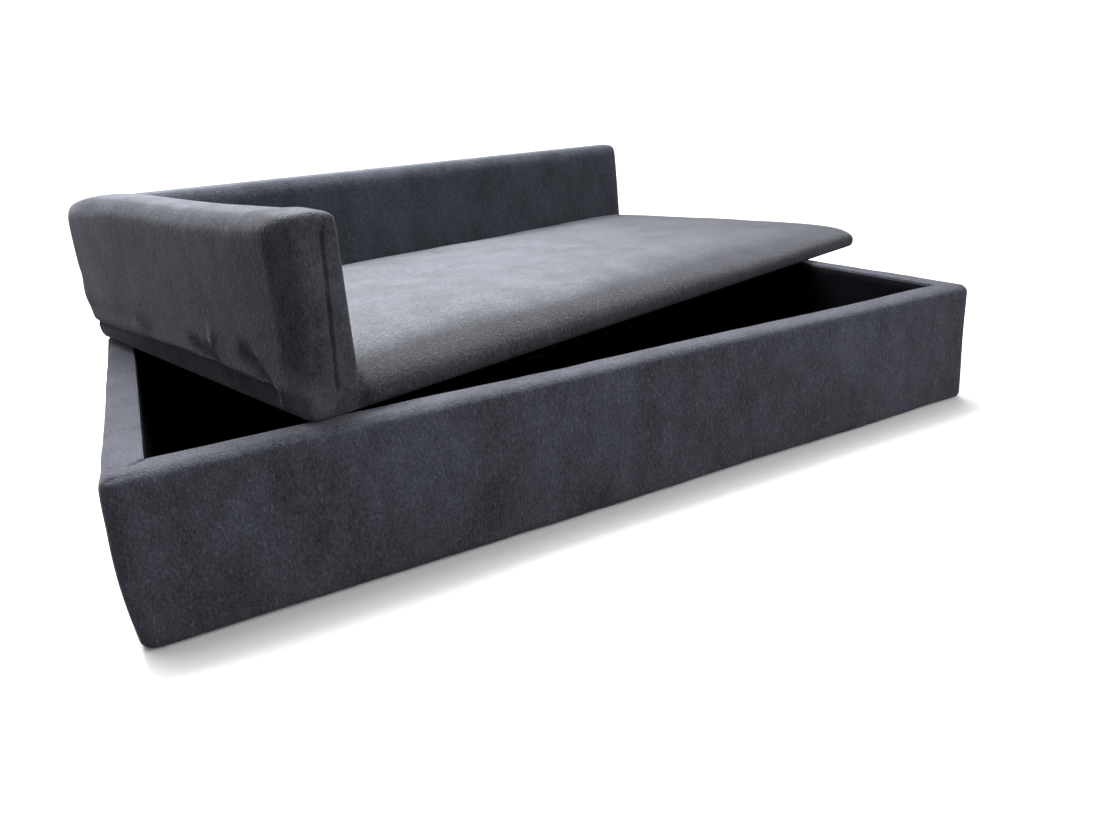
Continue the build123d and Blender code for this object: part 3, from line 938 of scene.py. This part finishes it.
def make_seat_pad():
    """The slab of the covered board, sliced closer together where the seat's top rolls over and
    where it meets the armrest and the backrest."""
    bm = block((-half_width, -half_depth, top_cover_bottom), (half_width, half_depth, deck))
    end_roll = [half_width - place for place in arc_places(seat_end_roll, 11)]
    front_roll = [place - half_depth for place in arc_places(seat_front_roll, 14)]
    slice_at(bm, 0, end_roll)
    slice_at(bm, 1, front_roll)
    slice_at(bm, 0, even_places(-0.395, end_roll[-1], seat_grid))
    slice_at(bm, 1, even_places(front_roll[-1], seat_back - 0.008, seat_grid))
    slice_at(bm, 0, (-0.4485, -0.446, -0.440, -0.430, -0.420, -0.413, -0.410, -0.4075))
    slice_at(bm, 0, (-0.405, -0.4025, -0.400, -0.395))
    slice_at(bm, 1, (0.2535, 0.251, 0.245, 0.235, 0.225, 0.218, 0.2145, 0.212))
    slice_at(bm, 1, (0.2095, 0.207, 0.2045, 0.202))
    edge_shares = (0.12, 0.25, 0.38, 0.5, 0.58, 0.68, 0.8, 0.9)
    thickness = deck - top_cover_bottom
    slice_at(bm, 2, [top_cover_bottom + share * thickness for share in edge_shares])
    return to_object(bm, "seat_pad")


def rolled(distance, reach, fullness):
    """The height share of a rolled edge at a distance in from its widest line. A fullness of 2 is
    a quarter ellipse, and more is squarer."""
    return (1 - (1 - np.clip(distance / reach, 0, 1)) ** fullness) ** (1 / fullness)


def pad_seat(points):
    """Raises the slab's top into the crowned seat. Its open edges are drawn out to a rounded
    nose, which covers the board's edge and tucks in below."""
    x, y, z = points.T
    share = np.clip((z - top_cover_bottom) / (deck - top_cover_bottom), 0, 1)
    from_front, from_end, from_back = y + half_depth, half_width - x, seat_back - y
    out = np.where(share < 0.5, np.sin(np.pi * share), 1 - np.clip(2 * share - 1, 0, 1) ** 2)
    front_out = np.where(from_front < 1e-5, out * seat_overhang, 0)
    end_out = np.where(from_end < 1e-5, out * seat_overhang, 0)
    front = rolled(
        from_front + seat_overhang - front_out,
        seat_front_roll + seat_overhang,
        2.0 + 0.9 * ramp(x, 0.20, 0.44),
    )
    end = rolled(from_end + seat_overhang - end_out, seat_end_roll + seat_overhang, 2.6)
    # The crown gets lower towards the open end and its front corner, and along the backrest
    crown = 0.032 - 0.012 * ramp(x, 0.0, 0.47)
    crown -= 0.002 * ramp(x, 0.20, 0.45) * ramp(from_front, 0.24, 0.05)
    crown *= 1 - 0.20 * np.exp(-((from_back / 0.07) ** 2)) * ramp(x, 0.40, 0.25)
    crown -= 0.006 * np.exp(-((from_back / 0.022) ** 2)) * ramp(x, 0.35, -0.10)
    height = seat_widest_height + (deck + crown - seat_widest_height) * front * end
    tucked = seat_widest_height - (seat_widest_height - top_cover_bottom) * np.cos(np.pi * share)
    uneven = waves(points, (0.16, 0.12, 1), 11) * 0.0014
    uneven += waves(points, (0.05, 0.05, 1), 12) * 0.0004
    height += np.where(share > 0.999, uneven * ramp(front * end, 0.45, 0.9), 0)
    shown = ramp(x, seat_left - 0.004, seat_left + 0.006) * ramp(from_back, -0.006, 0.002)
    points[:, 2] += (np.where(share < 0.5, tucked, height) - z) * shown
    points[:, 1] -= front_out * shown
    points[:, 0] += end_out * shown


def round_plan(points, corner, radius):
    """Rounds one corner of a piece's plan, by drawing its square grid into a quarter disc."""
    side = np.sign(corner)
    middle = np.array(corner) - side * radius
    away = (points[:, :2] - middle) * side / radius
    inside = (away > 0).all(1)
    length = np.maximum(np.hypot(away[:, 0], away[:, 1]), 1e-9)
    kept = np.where(inside, away.max(1) / length, 1.0)
    points[:, :2] = middle + away * kept[:, None] * side * radius


seat_pad = make_seat_pad()
points, _ = read_points(seat_pad)
pad_seat(points)
for corner, radius in (
    ((half_width + seat_overhang, -half_depth - seat_overhang), 0.016),
    ((-half_width, -half_depth), 0.010),
    ((half_width, half_depth), 0.010),
    ((-half_width, half_depth), 0.010),
):
    round_plan(points, corner, radius)
write_points(seat_pad, points)
subdivide(seat_pad)
drill(seat_pad, pin_clearance_radius, top_cover_bottom - 0.002, board_top)
finish_piece(seat_pad, "sofa_top", "velour", velour_seat, "seat_cover", "seat_foam")


# Sofa top: the armrest and the backrest


def make_armrest():
    """The armrest's block, with a strip in front and a strip outside that come down over the
    board's edge."""
    bm = block((-0.4500, -0.2540, deck - 0.004), (-0.4030, 0.2540, block_top))
    for radius, segments, wanted in (
        (0.023, 8, lambda place: place.x < -0.44 and place.y < 0),
        (0.006, 4, lambda place: place.x > -0.404 and place.y < -0.253),
        (0.010, 5, lambda place: place.y > 0.253),
    ):
        uprights = [e for e in bm.edges if runs_along(e, 2) and wanted(e.verts[0].co)]
        round_off(bm, uprights, radius, segments)
    round_off(bm, [e for e in bm.edges if at_height(e, block_top)], 0.016, 6)
    strip_top = deck + 0.012
    front_low = (-0.4515, -0.2550, top_cover_bottom - 0.0008)
    add_block(bm, front_low, (-0.430, -0.236, strip_top))
    side_low = (-0.4515, -0.2400, top_cover_bottom - 0.0004)
    strip = add_block(bm, side_low, (-0.4400, 0.2480, strip_top))
    back_left = [v for v in strip if v.co.x < -0.45 and v.co.y > 0]
    corner = {e for v in back_left for e in v.link_edges if runs_along(e, 2)}
    round_off(bm, list(corner), 0.009, 4)
    return to_object(bm, "armrest")


def crown_armrest(points):
    """Raises the armrest's crest, lets it fall at the back, and bellies its outer face there."""
    x, y, z = points.T
    across = (x + 0.4295) / 0.0265
    crest = 0.0050 * ramp(y, -0.10, 0.18) + 0.0025 * (1 - across**2)
    crest -= 0.0112 * np.clip((y - 0.125) / 0.136, 0, 1) ** 2.6
    points[:, 2] += ramp(z, 0.22, whole_height) * crest
    heights = (deck, 0.160, 0.172, 0.195, 0.250, 0.300)
    belly = np.interp(z, heights, (0, 0.001, 0.0030, 0.0045, 0.0040, 0.0030))
    points[:, 0] -= belly * ramp(x, -0.425, -0.450) * ramp(y, 0.0, 0.20)


def turn_in(points, line):
    """Turns the armrest's cloth in to the board's edge below its foot line."""
    x, y, z = points.T
    line_y, line_z = np.array(line[::-1])[:, 1:].T
    height = np.interp(y, line_y, line_z)
    start = height + 0.0022 + 0.0060 * ramp(y, 0.12, 0.24)
    below = ramp(z, start, height - 0.0012) * ramp(y, -0.2140, -0.2020)
    points[:, 0] += below * np.maximum(board_edge_side - x, 0)


def on_side(*places):
    """A line on the armrest's outer face, from the y and z of its points."""
    return [(armrest_side, y, z) for y, z in places]


armrest = make_armrest()
remesh(armrest, 0.005)
swell(armrest)
fill_out(armrest, (-0.4560, -0.2575, deck), (-0.4000, 0.2610, whole_height))
points, _ = read_points(armrest)
crown_armrest(points)
write_points(armrest, points)
subdivide(armrest)

# Its sewn foot line, and the seam with a tee at its foot on the front face
foot_line = on_side(
    (0.262, 0.1575), (0.100, 0.1615), (-0.026, 0.1645), (-0.130, 0.1630), (-0.2064, 0.1606)
)
seam_line = [
    (-0.4205, -0.2555, 0.2890),
    (-0.4225, -0.2565, 0.250),
    (-0.4250, -0.2565, 0.200),
    (-0.4273, -0.2555, 0.1590),
]
tee_line = [(-0.4345, -0.2555, 0.1590), (-0.4180, -0.2555, 0.1600)]
refine(armrest, near_line(foot_line, 0.006))
points, _ = read_points(armrest)
turn_in(points, foot_line)
write_points(armrest, points)
refine(armrest, near_line(seam_line, 0.006))
refine(armrest, near_line(seam_line, 0.003))
refine(armrest, near_line(tee_line, 0.005))
press(armrest, seam_line, 0.0012, 0.0028, facing=forward, fade=0.05)
press(armrest, seam_line, 0.005, 0.0010, facing=forward, fade=0.05)
press(armrest, tee_line, 0.0014, 0.0022, facing=forward, fade=0.2)
press(armrest, foot_line, 0.0020, 0.0034, facing=leftward, fade=0.03)

# Pulls and ridges of the cloth above the foot line
for pull, width, depth in (
    (on_side((0.110, 0.182), (0.055, 0.164)), 0.007, -0.0011),
    (on_side((0.090, 0.186), (0.030, 0.165)), 0.008, 0.0012),
    (on_side((-0.040, 0.182), (-0.124, 0.162)), 0.0060, 0.0036),
    (on_side((-0.084, 0.186), (-0.108, 0.166)), 0.0045, 0.0014),
    (on_side((-0.106, 0.205), (-0.092, 0.172)), 0.006, -0.0013),
    (on_side((-0.150, 0.192), (-0.185, 0.175), (-0.2150, 0.1570)), 0.0080, 0.0055),
    (on_side((-0.178, 0.192), (-0.214, 0.165)), 0.006, -0.0010),
):
    press(armrest, pull, width, depth, facing=leftward, fade=0.35)

# A ridge over the crest to its front, and a dimple under it at the front corner
ridge = [(-0.449, -0.180, 0.2900), (-0.434, -0.215, 0.300), (-0.412, -0.243, 0.2980)]
press(armrest, ridge, 0.008, -0.0016, facing=up)
dimple = [(-0.4420, -0.2500, 0.2890), (-0.436, -0.2540, 0.2870), (-0.4300, -0.2520, 0.2890)]
press(armrest, dimple, 0.0022, 0.0016, fade=0.3)
finish_piece(armrest, "sofa_top", "velour", velour_block, "armrest_cover", "armrest_foam")


def make_backrest():
    """The backrest's block, with rounded uprights and a rounded crest."""
    bm = block((backrest_left, 0.2110, deck), (0.4540, 0.2540, block_top))
    round_off(bm, [e for e in bm.edges if runs_along(e, 2)], 0.011, 6)
    round_off(bm, [e for e in bm.edges if at_height(e, block_top)], 0.013, 6)
    return to_object(bm, "backrest")


backrest = make_backrest()
remesh(backrest, 0.006)
swell(backrest)
fill_out(backrest, (backrest_left, 0.2080, deck), (0.4608, 0.2570, whole_height + 0.002))
subdivide(backrest)

# Its right end leans in towards the crest
points, _ = read_points(backrest)
rise = np.clip((points[:, 2] - deck) / (whole_height - deck), 0, 1)
lean = np.interp(rise, (0, 0.12, 0.45, 0.8, 1), (0, 0.02, 0.26, 0.68, 1)) * 0.006
points[:, 0] -= lean * ramp(points[:, 0], 0.20, 0.44)
write_points(backrest, points)
finish_piece(backrest, "sofa_top", "velour", velour_back, "backrest_cover", "backrest_foam")

cloth_height = top_bottom + 0.0005
underside_cloth = make_sheet("top_underside_cloth", 0.442, 0.247, cloth_height, 0.014, 0.0001, 9)
drill(underside_cloth, pin_clearance_radius, top_bottom - 0.002, top_cover_bottom + 0.002)
finish_piece(underside_cloth, "sofa_top", "black_lining", lining_cloth, "underside_lining")


# Finishes of the CAD nodes that stay

slots = {row["node"]: row["material_slot"] for row in frame["record"]["subparts"]}
for node_name, node in frame["nodes"].items():
    if slots[node_name] in slot_materials:
        node.data.materials.clear()
        node.data.materials.append(slot_materials[slots[node_name]])


# Floor, light and camera. The camera sees the floor and the studio paler than the bed does.

bm = bmesh.new()
bmesh.ops.create_grid(bm, x_segments=1, y_segments=1, size=9)
floor = to_object(bm, "floor")
floor_material, tree, shader, _ = plain_material("pale floor")
direct = tree.nodes.new("ShaderNodeLightPath").outputs["Is Camera Ray"]
floor_tone = mix_colours(tree, direct, (0.15, 0.15, 0.154, 1), (0.70, 0.70, 0.706, 1))
tree.links.new(floor_tone, shader.inputs["Base Color"])
shader.inputs["Roughness"].default_value = 0.9
floor.data.materials.append(floor_material)

scene.world = bpy.data.worlds.new("studio")
scene.world.use_nodes = True
world_tree = scene.world.node_tree
background = world_tree.nodes["Background"]
background.inputs["Color"].default_value = (1.0, 1.0, 1.0, 1)
direct = world_tree.nodes.new("ShaderNodeLightPath").outputs["Is Camera Ray"]
strength = spread(world_tree, direct, 0, 1, 0.40, 1.2)
world_tree.links.new(strength, background.inputs["Strength"])

for light_name, energy, softness, turn in (
    ("overhead softbox", 5.0, 46, (-25, 0, 0)),
    ("right front fill", 1.5, 60, (64, 0, 50)),
    ("left back fill", 0.35, 60, (66, 0, -125)),
):
    light_data = bpy.data.lights.new(light_name, "SUN")
    light_data.energy = energy
    light_data.angle = math.radians(softness)
    light = bpy.data.objects.new(light_name, light_data)
    scene.collection.objects.link(light)
    light.rotation_euler = [math.radians(a) for a in turn]

for light_name, energy, size, place, aim in (
    ("panel over the seat", 52, 0.8, (-0.25, 0.42, 1.12), (-0.25, 0.056, 0.0)),
    ("panel at the right front", 9, 0.9, (0.95, -1.45, 0.75), (0.1, -0.2, 0.1)),
):
    panel_data = bpy.data.lights.new(light_name, "AREA")
    panel_data.energy = energy
    panel_data.size = size
    panel = bpy.data.objects.new(light_name, panel_data)
    scene.collection.objects.link(panel)
    panel.location = place
    panel.rotation_euler = (Vector(aim) - Vector(place)).to_track_quat("-Z", "Y").to_euler()

camera_data = bpy.data.cameras.new("camera")
camera = bpy.data.objects.new("camera", camera_data)
scene.collection.objects.link(camera)
camera.location = (-0.3942, -0.858, 0.3573)
camera.rotation_euler = [math.radians(a) for a in (72.88, 3.60, -28.58)]
camera_data.lens = 26.53
camera_data.sensor_width = 36
camera_data.shift_x = -0.0216
camera_data.shift_y = -0.0429
camera_data.clip_start = 0.01
scene.camera = camera
scene.view_settings.view_transform = "Standard"
